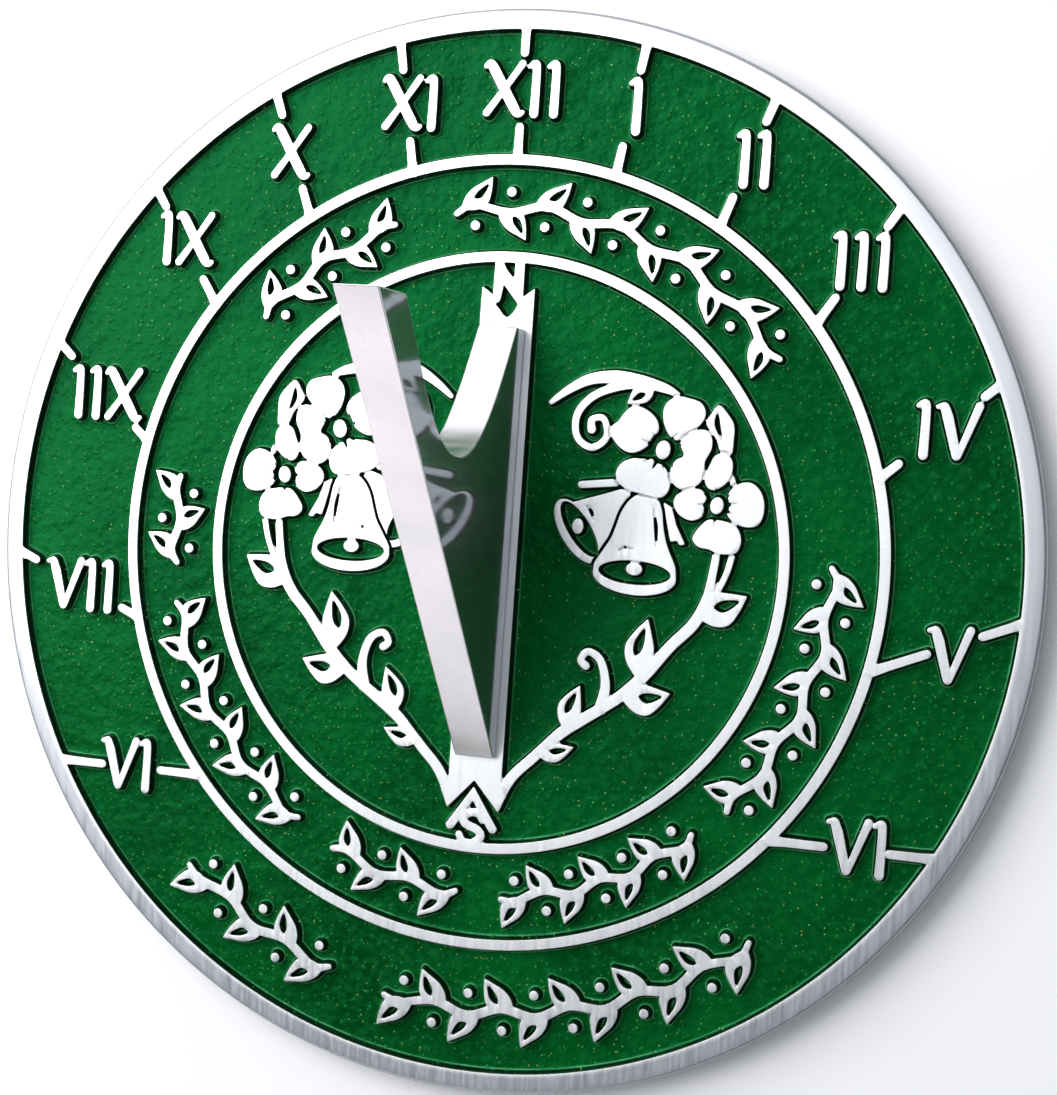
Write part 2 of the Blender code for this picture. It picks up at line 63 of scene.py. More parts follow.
# The plan, in plan units.
RIM_INNER = 94.0
OUTER_RING = (69.8, 71.6)
INNER_RING = (52.4, 54.2)
MORNING_CENTRE = (0.0, -46.0)
AFTERNOON_CENTRE = (-1.1, -44.4)
SIX_Y = -45.9
LATITUDE = math.radians(40.0)
LINE_WIDTH = 1.55
MOAT = 0.5  # the gap round an ornament that overlaps others
CIRCLE_STEPS = 360
CORNER_RADIUS = 0.3
SHARP_TURN = 0.35  # radians; a corner that turns more is rounded
POINT_SPACING = 0.12
LONGEST_EDGE = 1.2
SMALLEST_LOOP = 0.25  # area; a smaller loop is left out
MITRE_LIMIT = 0.35
CDT_TOLERANCE = 1e-6


# ---------------------------------------- plan geometry

def spline(points, per_span=6, closed=False):
    """A smooth line through the points, as a Catmull-Rom spline."""
    if closed:
        ends = [points[-1]] + list(points) + [points[0], points[1]]
    else:
        ends = [points[0]] + list(points) + [points[-1]]
    line = []
    for p0, p1, p2, p3 in zip(ends, ends[1:], ends[2:], ends[3:]):
        for step in range(per_span):
            t = step / per_span
            line.append(tuple(
                0.5 * (2 * b + (c - a) * t + (2 * a - 5 * b + 4 * c - d) * t * t
                       + (3 * b - a - 3 * c + d) * t ** 3)
                for a, b, c, d in zip(p0, p1, p2, p3)))
    return line if closed else line + [tuple(points[-1])]


def cubic(p0, p1, p2, p3, steps):
    """Points along a cubic curve, without its last one."""
    line = []
    for step in range(steps):
        t = step / steps
        s = 1.0 - t
        line.append(tuple(a * s ** 3 + 3 * b * s * s * t + 3 * c * s * t * t + d * t ** 3
                          for a, b, c, d in zip(p0, p1, p2, p3)))
    return line


def area(outline):
    return sum(a[0] * b[1] - b[0] * a[1] for a, b in zip(outline, outline[1:] + outline[:1])) / 2


def wound(outline):
    """The outline, turning anticlockwise."""
    return outline if area(outline) > 0 else outline[::-1]


ROUND_END_STEPS = 5


def brush(line, widths):
    """The outline of a round-ended brush stroke; its widths are spread evenly along the line."""
    last = len(line) - 1
    left, right = [], []
    for i, point in enumerate(line):
        before = Vector(line[max(i - 1, 0)])
        after = Vector(line[min(i + 1, last)])
        along = (after - before).normalized()
        place = i / last * (len(widths) - 1)
        index = min(int(place), len(widths) - 2)
        blend = place - index
        wide = widths[index] * (1 - blend) + widths[index + 1] * blend
        normal = Vector((-along.y, along.x)) * wide / 2
        left.append(Vector(point) + normal)
        right.append(Vector(point) - normal)
    outline = [tuple(p) for p in right]
    outline += round_end(line[-1], right[-1])
    outline += [tuple(p) for p in reversed(left)]
    outline += round_end(line[0], left[0])
    return wound(outline)


def round_end(centre, start):
    """Points of a half circle from a start, anticlockwise about a centre."""
    centre = Vector(centre)
    arm = Vector(start) - centre
    points = []
    for step in range(1, ROUND_END_STEPS):
        angle = math.pi * step / ROUND_END_STEPS
        points.append((centre.x + arm.x * math.cos(angle) - arm.y * math.sin(angle),
                       centre.y + arm.x * math.sin(angle) + arm.y * math.cos(angle)))
    return points


def ellipse(centre, half_width, half_height, turn, steps):
    outline = [(half_width * math.cos(2 * math.pi * i / steps),
                half_height * math.sin(2 * math.pi * i / steps)) for i in range(steps)]
    return placed(outline, centre, turn)


def circle(radius):
    return ellipse((0.0, 0.0), radius, radius, 0.0, CIRCLE_STEPS)


def placed(outline, centre, turn=0.0):
    """The outline turned by an angle in degrees, and moved to a centre."""
    c = math.cos(math.radians(turn))
    s = math.sin(math.radians(turn))
    return [(centre[0] + c * x - s * y, centre[1] + s * x + c * y) for x, y in outline]


def mirrored(outline):
    return [(-x, y) for x, y in reversed(outline)]


def grow(loop, distance):
    """The loop moved to its right by a distance, with mitred corners."""
    grown = []
    count = len(loop)
    for i in range(count):
        x, y = loop[i]
        bx, by = x - loop[i - 1][0], y - loop[i - 1][1]
        ax, ay = loop[(i + 1) % count][0] - x, loop[(i + 1) % count][1] - y
        bl = math.hypot(bx, by) or 1.0
        al = math.hypot(ax, ay) or 1.0
        nx, ny = by / bl + ay / al, -bx / bl - ax / al
        dot = (bx * ax + by * ay) / (bl * al)
        scale = distance / max(1.0 + dot, MITRE_LIMIT)
        grown.append((x + nx * scale, y + ny * scale))
    return grown


def soften(loop, radius):
    """The loop with its sharp corners rounded."""
    soft = []
    count = len(loop)
    for i in range(count):
        here = Vector(loop[i])
        before = here - Vector(loop[i - 1])
        after = Vector(loop[(i + 1) % count]) - here
        if before.length < 1e-6 or after.length < 1e-6:
            continue
        if abs(before.angle_signed(after)) < SHARP_TURN:
            soft.append(tuple(here))
            continue
        start = here - before.normalized() * min(radius, before.length * 0.45)
        end = here + after.normalized() * min(radius, after.length * 0.45)
        for t in (0.0, 0.33, 0.67, 1.0):
            point = start * (1 - t) ** 2 + here * (2 * t * (1 - t)) + end * t * t
            soft.append(tuple(point))
    return soft


def thin_out(loop, spacing):
    """The loop without points that lie closer together than the spacing."""
    kept = [loop[0]]
    for point in loop[1:]:
        if math.dist(point, kept[-1]) > spacing:
            kept.append(point)
    if math.dist(kept[0], kept[-1]) < spacing:
        kept.pop()
    return kept


# ---------------------------------------- raised shapes of the dial
# A drawing is a list of (outline, raised), painted one over the other.

def raised(*outlines):
    return [(wound(list(outline)), True) for outline in outlines]


def sunk(*outlines):
    return [(wound(list(outline)), False) for outline in outlines]


def standing_over(outline, moat=MOAT):
    """A raised outline with a moat cut round it."""
    outline = wound(list(outline))
    return [(grow(outline, moat), False), (outline, True)]


def both_sides(drawing):
    return drawing + [(mirrored(outline), solid) for outline, solid in drawing]


# Hour lines and numerals.

def hour_direction(hour):
    if abs(hour) == 6:
        return Vector((math.copysign(1.0, hour), 0.0))
    angle = math.atan(math.sin(LATITUDE) * math.tan(math.radians(15.0 * hour)))
    return Vector((math.sin(angle), math.cos(angle)))


def hour_tick(hour, radius, length):
    """One piece of an hour line: from the circle of a radius, along the line by a length."""
    direction = hour_direction(hour)
    centre = Vector(AFTERNOON_CENTRE if hour > 0 else MORNING_CENTRE)
    if abs(hour) == 6:
        centre = Vector((0.0, SIX_Y))
    along = centre.dot(direction)
    reach = -along + math.sqrt(along ** 2 - centre.length_squared + radius ** 2)
    start = centre + direction * reach
    end = start + direction * length
    return brush([tuple(start), tuple(start.lerp(end, 0.35)), tuple(end)],
                 [LINE_WIDTH * 1.25, LINE_WIDTH, LINE_WIDTH * 0.94])


# (hours from noon, numeral, its centre, length of the outer tick, length of the inner tick)
HOURS = [
    (-6, "VI", (-69.0, -45.4), 8.2, 7.3),
    (-5, "VII", (-81.0, -12.2), 3.5, 3.0),
    (-4, "IIX", (-77.7, 24.4), 3.1, 2.7),
    (-3, "IX", (-63.2, 54.2), 3.4, 4.5),
    (-2, "X", (-43.6, 71.0), 3.9, 4.7),
    (-1, "XI", (-21.0, 80.4), 4.8, 4.7),
    (0, "XII", (0.0, 83.3), 4.3, 4.9),
    (1, "I", (21.3, 80.6), 4.5, 4.4),
    (2, "II", (43.0, 71.9), 3.9, 4.8),
    (3, "III", (62.9, 55.0), 3.7, 4.9),
    (4, "IV", (79.6, 27.0), 2.9, 3.4),
    (5, "V", (82.5, -11.0), 6.7, 9.6),
    (6, "VI", (69.4, -45.4), 7.2, 9.0),
]
TICK_OVERLAP = 0.9
GLYPH_HALF_WIDTH = {"I": 0.85, "V": 3.4, "X": 3.6}
GLYPH_SPACING = {"II": 3.65, "IX": 5.6, "XI": 5.75, "IV": 5.6, "VI": 5.7}


def glyph(letter):
    """The brush strokes of one numeral letter."""
    if letter == "I":
        return [brush(spline([(-1.3, 4.0), (-0.35, 4.5), (0.0, 3.8), (0.05, 0.0), (0.0, -4.4)], 4),
                      [0.8, 1.4, 1.45, 1.6])]
    if letter == "V":
        return [brush([(-3.6, 4.0), (-2.6, 4.2)], [0.8, 1.25]),
                brush([(-2.5, 4.0), (-1.9, 2.4), (0.0, -4.2)], [1.5, 1.75, 1.5]),
                brush([(3.3, 4.5), (0.25, -4.2)], [1.4, 1.05])]
    return [brush(spline([(-3.7, 3.9), (-2.9, 4.35), (-1.9, 3.0), (1.8, -3.2), (2.8, -4.4),
                          (3.6, -4.2)], 4), [0.8, 1.55, 1.8, 1.8, 1.5, 0.8]),
            brush([(3.1, 4.5), (0.0, -0.1), (-3.1, -4.4)], [1.25, 1.05, 1.35])]


def numeral(letters, centre):
    stations = [0.0]
    for pair in zip(letters, letters[1:]):
        stations.append(stations[-1] + GLYPH_SPACING["".join(pair)])
    left = -GLYPH_HALF_WIDTH[letters[0]]
    right = stations[-1] + GLYPH_HALF_WIDTH[letters[-1]]
    middle = (left + right) / 2
    outlines = []
    for letter, station in zip(letters, stations):
        for outline in glyph(letter):
            outlines.append(placed(outline, (centre[0] + station - middle, centre[1])))
    return outlines


def hours_drawing():
    drawing = []
    for hour, letters, centre, outer_length, inner_length in HOURS:
        drawing += raised(*numeral(letters, centre))
        outer = hour_tick(hour, RIM_INNER + TICK_OVERLAP, -outer_length - TICK_OVERLAP)
        inner = hour_tick(hour, OUTER_RING[1] - TICK_OVERLAP, inner_length + TICK_OVERLAP)
        drawing += raised(outer, inner)
    return drawing


# The compass bar, with N and S.

def bar_drawing():
    outline = [(-4.9, -40.0), (-4.9, 47.8), (-2.9, 46.4), (2.9, 46.2), (4.9, 47.8), (5.05, -40.0),
               (4.8, -46.4), (0.0, -41.1), (-4.8, -46.4)]
    north = [(-2.85, 44.0), (2.8, 44.0), (2.7, 53.0), (-2.7, 53.0)]
    lower_counter = [(-0.95, 48.4), (-1.3, 46.2), (-1.5, 45.3), (-2.4, 44.8), (-1.5, 43.9),
                     (-0.8, 43.0), (0.0, 42.4), (0.9, 43.0), (1.6, 44.0), (2.0, 44.9), (1.4, 45.6)]
    upper_counter = [(-1.3, 52.3), (-0.5, 50.9), (0.8, 49.5), (1.0, 50.0), (1.0, 52.3)]
    s_line = spline([(2.0, -48.2), (1.4, -47.2), (-0.2, -47.0), (-1.7, -48.0), (-1.0, -49.2),
                     (1.1, -50.0), (1.9, -51.2), (0.4, -52.5), (-1.4, -52.4), (-2.2, -51.2)], 4)
    chevron = [(0.0, -42.3), (-4.9, -49.6), (-4.4, -50.4), (-3.5, -50.3), (0.0, -44.8),
               (3.5, -50.3), (4.4, -50.4), (4.9, -49.6)]
    return (raised(outline, north) + sunk(lower_counter, upper_counter)
            + raised(chevron, brush(s_line, [1.3, 1.5, 1.5, 1.3])))


# The heart-shaped garland, east half.

def leaf(base, tip, width, bend=0.0):
    """A pointed leaf from base to tip, with a slot along its vein."""
    base = Vector(base)
    line = Vector(tip) - base
    side = Vector((-line.y, line.x)).normalized()
    profile = [(0.0, 0.12), (0.22, 0.42), (0.48, 0.5), (0.74, 0.3), (1.0, 0.0)]

    def along(t, offset):
        drift = side * (bend * math.sin(math.pi * t))
        return tuple(base + line * t + drift + side * offset * width)

    right = [along(t, -offset) for t, offset in profile]
    left = [along(t, offset) for t, offset in reversed(profile[:-1])]
    outline = spline(right, 4) + spline([right[-1]] + left, 4)[1:]
    vein = [along(0.34, 0.1), along(0.5, -0.12), along(0.84, -0.02)]
    back = [along(0.62, 0.2), along(0.44, 0.22)]
    return raised(outline) + sunk(spline(vein + back, 4, closed=True))


def blossom(centre, boss, petals, slits):
    """A blossom: overlapping petals with moats round them, short slits, and a raised boss."""
    drawing = []
    for outline in petals:
        drawing += standing_over(spline(outline, 4, closed=True))
    for turn, reach in slits:
        slit = [(1.2, -0.55), (reach, 0.08), (1.2, 0.55)]
        drawing += sunk(placed(slit, centre, turn))
    drawing += sunk(ellipse(centre, boss + 0.9, boss + 1.1, -10.0, 20))
    return drawing + raised(ellipse(centre, boss * 0.85, boss * 1.1, -10.0, 20))


# The petals of the two blossoms of the east side, each as the points of a closed curve.
UPPER_PETALS = [
    [(27.4, 21.0), (28.2, 22.6), (29.3, 23.9), (29.0, 25.6), (27.7, 27.0), (25.8, 27.9),
     (24.2, 27.8), (22.9, 26.6), (22.0, 25.2), (20.9, 24.2), (20.8, 22.8), (21.8, 21.3),
     (23.3, 20.1), (25.2, 19.8)],
    [(29.2, 18.9), (31.0, 17.4), (32.0, 15.5), (31.8, 13.4), (30.4, 12.2), (27.4, 12.6),
     (24.6, 13.2), (22.7, 14.4), (22.2, 16.0), (23.0, 17.7), (24.8, 18.7), (27.2, 18.8)],
    [(31.2, 23.4), (30.2, 25.4), (30.0, 27.6), (30.8, 29.2), (32.5, 30.1), (34.4, 29.9),
     (36.6, 29.2), (37.5, 27.6), (37.1, 26.0), (35.6, 24.3), (33.6, 22.8), (32.4, 22.5)],
    [(33.4, 22.0), (34.8, 23.6), (36.2, 24.4), (37.8, 24.5), (38.9, 23.3), (39.0, 21.3),
     (38.0, 19.1), (38.0, 17.2), (37.4, 15.3), (35.6, 14.1), (33.8, 14.0), (32.3, 15.3),
     (32.0, 17.2), (32.8, 18.9), (34.2, 19.9)],
]
LOWER_PETALS = [
    [(40.0, 14.2), (38.7, 14.7), (38.2, 16.4), (39.0, 18.6), (39.8, 20.2), (41.5, 20.7),
     (42.8, 19.5), (42.9, 17.3), (41.9, 15.4)],
    [(38.4, 11.2), (38.8, 12.6), (37.6, 14.1), (35.4, 13.9), (33.5, 12.9), (33.0, 11.2),
     (34.2, 9.4), (36.3, 8.6), (38.2, 9.5)],
    [(40.4, 9.0), (39.0, 8.7), (37.5, 7.0), (36.8, 5.4), (37.9, 4.1), (39.8, 3.8), (41.4, 3.2),
     (43.4, 3.2), (44.8, 3.7), (45.4, 5.6), (44.7, 7.7), (43.0, 8.7)],
    [(42.3, 12.4), (43.0, 14.4), (44.7, 15.7), (46.6, 15.8), (48.2, 14.5), (49.0, 12.3),
     (48.8, 9.8), (47.7, 8.4), (45.6, 8.2), (43.5, 9.1), (42.4, 10.6)],
]

# The slits round each boss: (direction in degrees, reach from the blossom's middle).
UPPER_SLITS = [(18.0, 3.7), (52.0, 4.2), (86.0, 3.6), (124.0, 3.8), (156.0, 4.7), (184.0, 4.0),
               (213.0, 4.3), (243.0, 4.8), (274.0, 3.8), (304.0, 4.0), (340.0, 3.7)]
LOWER_SLITS = [(8.0, 3.8), (42.0, 3.2), (95.0, 3.4), (140.0, 3.3), (178.0, 3.7), (214.0, 3.3),
               (265.0, 3.9), (300.0, 3.3), (335.0, 3.5)]


def front_bell():
    body = spline([(26.8, 12.8), (24.9, 11.2), (23.7, 9.2), (23.0, 7.0), (22.2, 4.6), (21.1, 2.7),
                   (20.2, 1.2), (19.4, -0.2), (19.3, -1.8)], 5)
    body += spline([(34.3, -1.8), (34.1, 0.0), (33.5, 1.4), (32.7, 3.0), (32.0, 4.8), (31.4, 7.2),
                    (31.0, 9.8), (30.3, 11.6), (29.4, 12.9)], 5)
    lip = ellipse((26.8, -1.9), 7.55, 3.4, -2.0, 60)
    mouth = ellipse((26.8, -1.35), 6.6, 2.15, -1.0, 48)
    clapper = ellipse((26.7, -0.7), 1.45, 1.1, 0.0, 24)
    shade = brush(spline([(29.5, 10.0), (30.1, 7.0), (30.4, 3.6)]), [0.3, 0.8, 0.4])
    glint = brush(spline([(23.7, 2.4), (24.8, 3.0), (26.2, 2.8)]), [0.3, 0.6, 0.3])
    return (standing_over(body, 0.6) + standing_over(lip) + raised(body, lip)
            + sunk(mouth, shade, glint) + raised(clapper))


def rear_bell():
    body = spline([(11.7, 10.1), (14.0, 10.1), (17.2, 11.1), (20.3, 12.1), (23.1, 13.1),
                   (25.0, 13.6)], 5)
    body += [(25.2, 10.0)] + spline([(22.0, 2.6), (20.2, 0.6), (19.4, 0.3)], 5)
    lip = ellipse((15.9, 5.2), 6.5, 3.0, -54.0, 60)
    mouth = ellipse((16.2, 5.6), 5.7, 2.1, -54.0, 48)
    clapper = ellipse((15.9, 6.1), 1.0, 1.35, 0.0, 24)
    shade = brush(spline([(17.3, 9.8), (18.2, 8.8), (18.7, 7.4)]), [0.3, 0.8, 0.3])
    return raised(body, lip) + sunk(mouth, shade) + raised(clapper)


def curl_drawing():
    line = spline([(26.4, 31.9), (21.8, 31.3), (17.2, 29.4), (14.4, 26.0), (14.6, 22.0),
                   (17.4, 20.2), (20.0, 22.2), (19.3, 25.4), (17.2, 25.2), (17.2, 23.4)], 6)
    return raised(brush(line, [1.3, 1.4, 1.3, 1.2, 1.2, 1.1, 1.1, 1.5]))


def garland_drawing():
    upper = brush(spline([(9.4, 27.8), (12.5, 30.2), (16.4, 32.3), (21.2, 32.9), (26.0, 32.3),
                          (30.0, 31.4), (32.4, 30.4)]), [0.8, 1.4, 1.9, 2.3, 2.2, 1.6, 0.8])
    lower = brush(spline([(41.3, 3.4), (40.7, -1.4), (40.1, -5.2), (38.0, -9.6), (34.2, -13.8),
                          (30.0, -19.2), (26.4, -22.9), (23.4, -25.3), (19.4, -28.1),
                          (15.6, -30.9), (12.6, -33.9), (10.1, -36.5), (7.7, -38.9),
                          (6.1, -41.2), (5.2, -43.6), (4.75, -46.1)]),
                  [1.3, 1.4, 1.9, 2.0, 1.9, 2.1, 2.0, 1.9, 2.0, 2.0, 1.8, 1.8, 1.8, 1.9, 1.6, 0.4])
    twin = brush(spline([(44.1, 3.4), (43.2, -0.4), (41.4, -4.6)]), [1.1, 1.0, 1.0])
    tendril = brush(spline([(22.4, -26.0), (23.0, -21.6), (21.8, -17.4), (19.4, -16.0),
                            (18.2, -17.6), (19.2, -18.6)]), [2.2, 1.5, 1.3, 1.2, 1.4])
    drawing = raised(upper) + curl_drawing() + leaf((27.8, 31.8), (23.4, 28.3), 3.4)
    drawing += raised(lower, twin, tendril)
    drawing += leaf((38.6, -7.8), (47.2, -3.9), 6.0, -0.6)
    drawing += leaf((28.8, -19.6), (29.9, -9.3), 5.2, 0.6)
    drawing += leaf((26.2, -23.4), (34.8, -22.1), 5.4, -0.9)
    drawing += leaf((16.4, -30.4), (18.4, -22.2), 4.2, 0.6)
    drawing += leaf((11.2, -34.9), (18.0, -33.3), 3.4, -0.5)
    drawing += rear_bell()
    drawing += standing_over(brush([(16.0, 13.5), (22.4, 14.3)], [1.2, 1.3]))
    ribbon = [(31.2, 11.4), (32.7, 10.6), (33.7, 7.6), (35.5, 4.3), (34.6, 4.1), (34.0, 4.9),
              (32.9, 4.6), (32.2, 7.2)]
    drawing += standing_over(ribbon) + front_bell()
    upper_leaf = spline([(41.3, 19.0), (39.8, 23.0), (37.8, 25.6), (38.5, 27.3), (39.8, 29.0),
                         (41.6, 27.4), (42.7, 25.6), (42.8, 23.0), (42.6, 20.4)], 4, closed=True)
    vein = spline([(39.7, 27.9), (39.2, 25.6), (40.8, 22.8), (40.4, 25.2)], 4, closed=True)
    drawing += raised(upper_leaf) + sunk(vein)
    drawing += raised(brush([(42.6, 17.4), (43.6, 14.8)], [0.9, 1.1]))
    drawing += blossom((30.4, 20.6), 1.5, UPPER_PETALS, UPPER_SLITS)
    drawing += blossom((40.7, 11.5), 1.35, LOWER_PETALS, LOWER_SLITS)
    return both_sides(drawing)


# Sprigs along the bands.
# (radius, first bearing, last bearing, number of leaves, size); bearings run clockwise from north.
SPRIGS = [
    (62.0, -49.0, -21.0, 5, 1.0),
    (62.0, -10.0, 53.0, 10, 1.0),
    (62.0, 88.0, 132.0, 8, 1.0),
    (62.0, 139.0, 174.0, 7, 1.0),
    (62.0, 182.0, 205.0, 4, 1.0),
    (62.0, 213.0, 257.0, 8, 1.0),
    (62.0, 264.0, 279.0, 3, 1.0),
    (83.0, 141.0, 190.0, 11, 1.1),
    (83.0, 198.0, 221.0, 5, 1.1),
]


def polar(radius, bearing):
    angle = math.radians(bearing)
    return (radius * math.sin(angle), radius * math.cos(angle))


def sprig_drawing(radius, first, last, leaves, size):
    """A wavy stem with leaves on alternate sides and a berry in each hollow."""
    step = (last - first) / leaves
    stem_line = [polar(radius - 0.4 * size, first)]
    drawing = []
    for i in range(leaves):
        bearing = first + (i + 0.5) * step
        side = size if i % 2 == 0 else -size
        stem_line.append(polar(radius + side * 0.8, bearing))
        base = polar(radius + side * 0.4, bearing - 0.3 * step)
        tip = polar(radius + side * 5.6, bearing + 0.5 * step)
        drawing += leaf(base, tip, 3.9 * size, -0.7 * side)
        drawing += raised(ellipse(polar(radius - side * 2.9, bearing), 0.85, 0.85, 0.0, 14))
    stem_line.append(polar(radius + 0.4 * size, last))
    return drawing + raised(brush(spline(stem_line, 5), [1.0] + [1.5 * size] * 4 + [1.0]))


def dial_drawing():
    """Everything raised on the dial, painted in order."""
    drawing = raised(circle(PLAN_RADIUS)) + sunk(circle(RIM_INNER))
    for inner, outer in (OUTER_RING, INNER_RING):
        drawing += raised(circle(outer)) + sunk(circle(inner))
    drawing += hours_drawing()
    for values in SPRIGS:
        drawing += sprig_drawing(*values)
    drawing += garland_drawing()
    return drawing + bar_drawing()


def painted_triangles(drawing):
    """The drawing as points and triangles, each with whether it ends up raised."""
    points, faces = [], []
    for outline, _ in drawing:
        start = outline.index(max(outline))
        faces.append(list(range(len(points), len(points) + len(outline))))
        points += [Vector(point) for point in outline[start:] + outline[:start]]
    places, _, triangles, _, _, sources = delaunay_2d_cdt(points, [], faces, 1,
                                                          CDT_TOLERANCE, True)
    states = [bool(ids) and drawing[max(ids)][1] for ids in sources]
    return places, triangles, states


def boundary_loops(places, triangles, states):
    """The edges of the raised region as loops that keep it on their left."""
    sides = set()
    for triangle, state in zip(triangles, states):
        if state:
            for a, b in zip(triangle, triangle[1:] + triangle[:1]):
                sides.add((a, b))
    onward = {}
    for a, b in sorted(sides):
        if (b, a) not in sides:
            onward.setdefault(a, []).append(b)
    loops = []
    while onward:
        start = min(onward)
        loop = [start]
        here = onward[start].pop()
        if not onward[start]:
            del onward[start]
        while here != start:
            arrival = places[here] - places[loop[-1]]
            choices = onward[here]
            best = max(choices, key=lambda n: arrival.angle_signed(places[n] - places[here], 0.0))
            choices.remove(best)
            if not choices:
                del onward[here]
            loop.append(here)
            here = best
        loops.append([tuple(places[i]) for i in loop])
    return loops


def fill_in(loop):
    """The loop with points added along its long edges."""
    filled = []
    for a, b in zip(loop, loop[1:] + loop[:1]):
        pieces = max(1, math.ceil(math.dist(a, b) / LONGEST_EDGE))
        for i in range(pieces):
            t = i / pieces
            filled.append((a[0] + (b[0] - a[0]) * t, a[1] + (b[1] - a[1]) * t))
    return filled


def tidy_loops(loops):
    """The loops without the smallest, thinned, rounded at their corners and filled in."""
    tidy = []
    for loop in loops:
        if len(loop) > 3 and abs(area(loop)) > SMALLEST_LOOP:
            tidy.append(fill_in(soften(thin_out(loop, POINT_SPACING), CORNER_RADIUS)))
    return tidy


# ---------------------------------------- relief

def stepped(rows, distance):
    """The height at a distance from the outline, between the rows of (distance, height)."""
    if distance <= rows[0][0]:
        return rows[0][1]
    for (near, high), (far, low) in zip(rows, rows[1:]):
        if distance <= far:
            return high + (low - high) * (distance - near) / (far - near)
    return rows[-1][1]


LEAST_CLEARANCE = 0.93  # a row's point stays if it keeps this share of the row's offset


class Relief:
    """The raised outlines of the dial, and how far a place is from them."""

    def __init__(self):
        places, triangles, states = painted_triangles(dial_drawing())
        solid = [triangle for triangle, state in zip(triangles, states) if state]
        self.tops = BVHTree.FromPolygons([(p.x, p.y, 0.0) for p in places], solid)
        self.loops = tidy_loops(boundary_loops(places, triangles, states))
        points, walls = [], []
        for loop in self.loops:
            for a, b in zip(loop, loop[1:] + loop[:1]):
                first = len(points)
                points += [(*a, -1.0), (*b, -1.0), (*b, 1.0), (*a, 1.0)]
                walls.append((first, first + 1, first + 2, first + 3))
        self.walls = BVHTree.FromPolygons(points, walls)

    def distance(self, x, y):
        return self.walls.find_nearest(Vector((x, y, 0.0)))[3]

    def is_raised(self, x, y):
        return self.tops.ray_cast(Vector((x, y, 1.0)), Vector((0.0, 0.0, -1.0)))[0] is not None

    def rows(self, offsets, loops):
        """Rows of points at the offsets from each loop, as (point, distance) and edges.

        A point that comes nearer to another outline than to its own is left out.
        """
        points, edges = [], []
        for loop in loops:
            for offset in offsets:
                ring = grow(loop, offset) if offset else loop
                indices = []
                for x, y in ring:
                    distance = self.distance(x, y) if offset else 0.0
                    if distance < LEAST_CLEARANCE * abs(offset):
                        indices.append(None)
                        continue
                    indices.append(len(points))
                    points.append((x, y, math.copysign(distance, offset)))
                for i, j in zip(indices, indices[1:] + indices[:1]):
                    if i is not None and j is not None:
                        edges.append((i, j))
        return points, edges


def sheet_mesh(relief, points, edges, height, keep, radius):
    """A sheet through the points, at a height that depends on the place and the distance."""
    flat = [Vector((x, y)) for x, y, _ in points]
    places, _, triangles, origins, _, _ = delaunay_2d_cdt(flat, edges, [], 0, CDT_TOLERANCE,
                                                          True)
    heights = []
    for place, origin in zip(places, origins):
        distance = points[origin[0]][2] if origin else relief.distance(place.x, place.y)
        heights.append(height(place.x, place.y, distance))
    kept = []
    for triangle in triangles:
        a, b, c = (places[i] for i in triangle)
        middle = (a + b + c) / 3
        if middle.length < radius and keep(middle.x, middle.y):
            kept.append(triangle)
    return [(p.x * PLAN, p.y * PLAN, z) for p, z in zip(places, heights)], kept


WELD = 0.005 * MM


def add_object(name, data):
    thing = bpy.data.objects.new(name, data)
    bpy.context.scene.collection.objects.link(thing)
    return thing


def new_piece(name, points, faces):
    """An object with a mesh of the points that the faces use, welded where they coincide."""
    mesh = bpy.data.meshes.new(name)
    used = sorted({i for face in faces for i in face})
    index = {old: new for new, old in enumerate(used)}
    mesh.from_pydata([points[i] for i in used], [],
                     [tuple(index[i] for i in face) for face in faces])
    shape = bmesh.new()
    shape.from_mesh(mesh)
    bmesh.ops.remove_doubles(shape, verts=shape.verts, dist=WELD)
    shape.to_mesh(mesh)
    shape.free()
    return add_object(name, mesh)


def smooth(piece, angle):
    """Shades the piece smooth, except at edges that turn by more than an angle in degrees."""
    piece.data.shade_smooth()
    piece.data.set_sharp_from_angle(angle=math.radians(angle))


# ---------------------------------------- the casting

# The casting's edges: (plan units out from an outline, height).
CASTING_ROWS = [(-0.1, TOP), (0.0, TOP - 0.015 * MM), (0.05, TOP - 0.2 * MM), (0.3, FLOOR)]
CASTING_CREASE = 38.0
RIM_TOP = 94.5
# The rim's gentle outward slope and its rounded edge: (radius, metres below the tops).
RIM_ROWS = [(94.5, 0.0), (94.9, 0.025 * MM), (96.0, 0.125 * MM), (97.0, 0.22 * MM),
            (97.3, 0.33 * MM), (97.55, 0.56 * MM), (97.7, 0.86 * MM), (PLAN_RADIUS, 1.25 * MM)]
# The edge of the underside: (radius, height).
LOWER_EDGE_ROWS = [(PLAN_RADIUS, 1.2 * MM), (PLAN_RADIUS - 0.3, 0.4 * MM),
                   (PLAN_RADIUS - 0.9, 0.0)]


def lathe(points, faces, rows, centre=(0.0, 0.0), steps=CIRCLE_STEPS, closed_end=True):
    """Adds a turned surface through rows of (radius, height), which faces right of its rows."""
    first = len(points)
    for radius, height in rows:
        for x, y in ellipse(centre, radius, radius, 0.0, steps):
            points.append((x * PLAN, y * PLAN, height))
    for row in range(len(rows) - 1):
        a, b = first + row * steps, first + (row + 1) * steps
        for i in range(steps):
            j = (i + 1) % steps
            faces.append((a + i, b + i, b + j, a + j))
    if closed_end:
        faces.append(tuple(first + (len(rows) - 1) * steps + i for i in reversed(range(steps))))


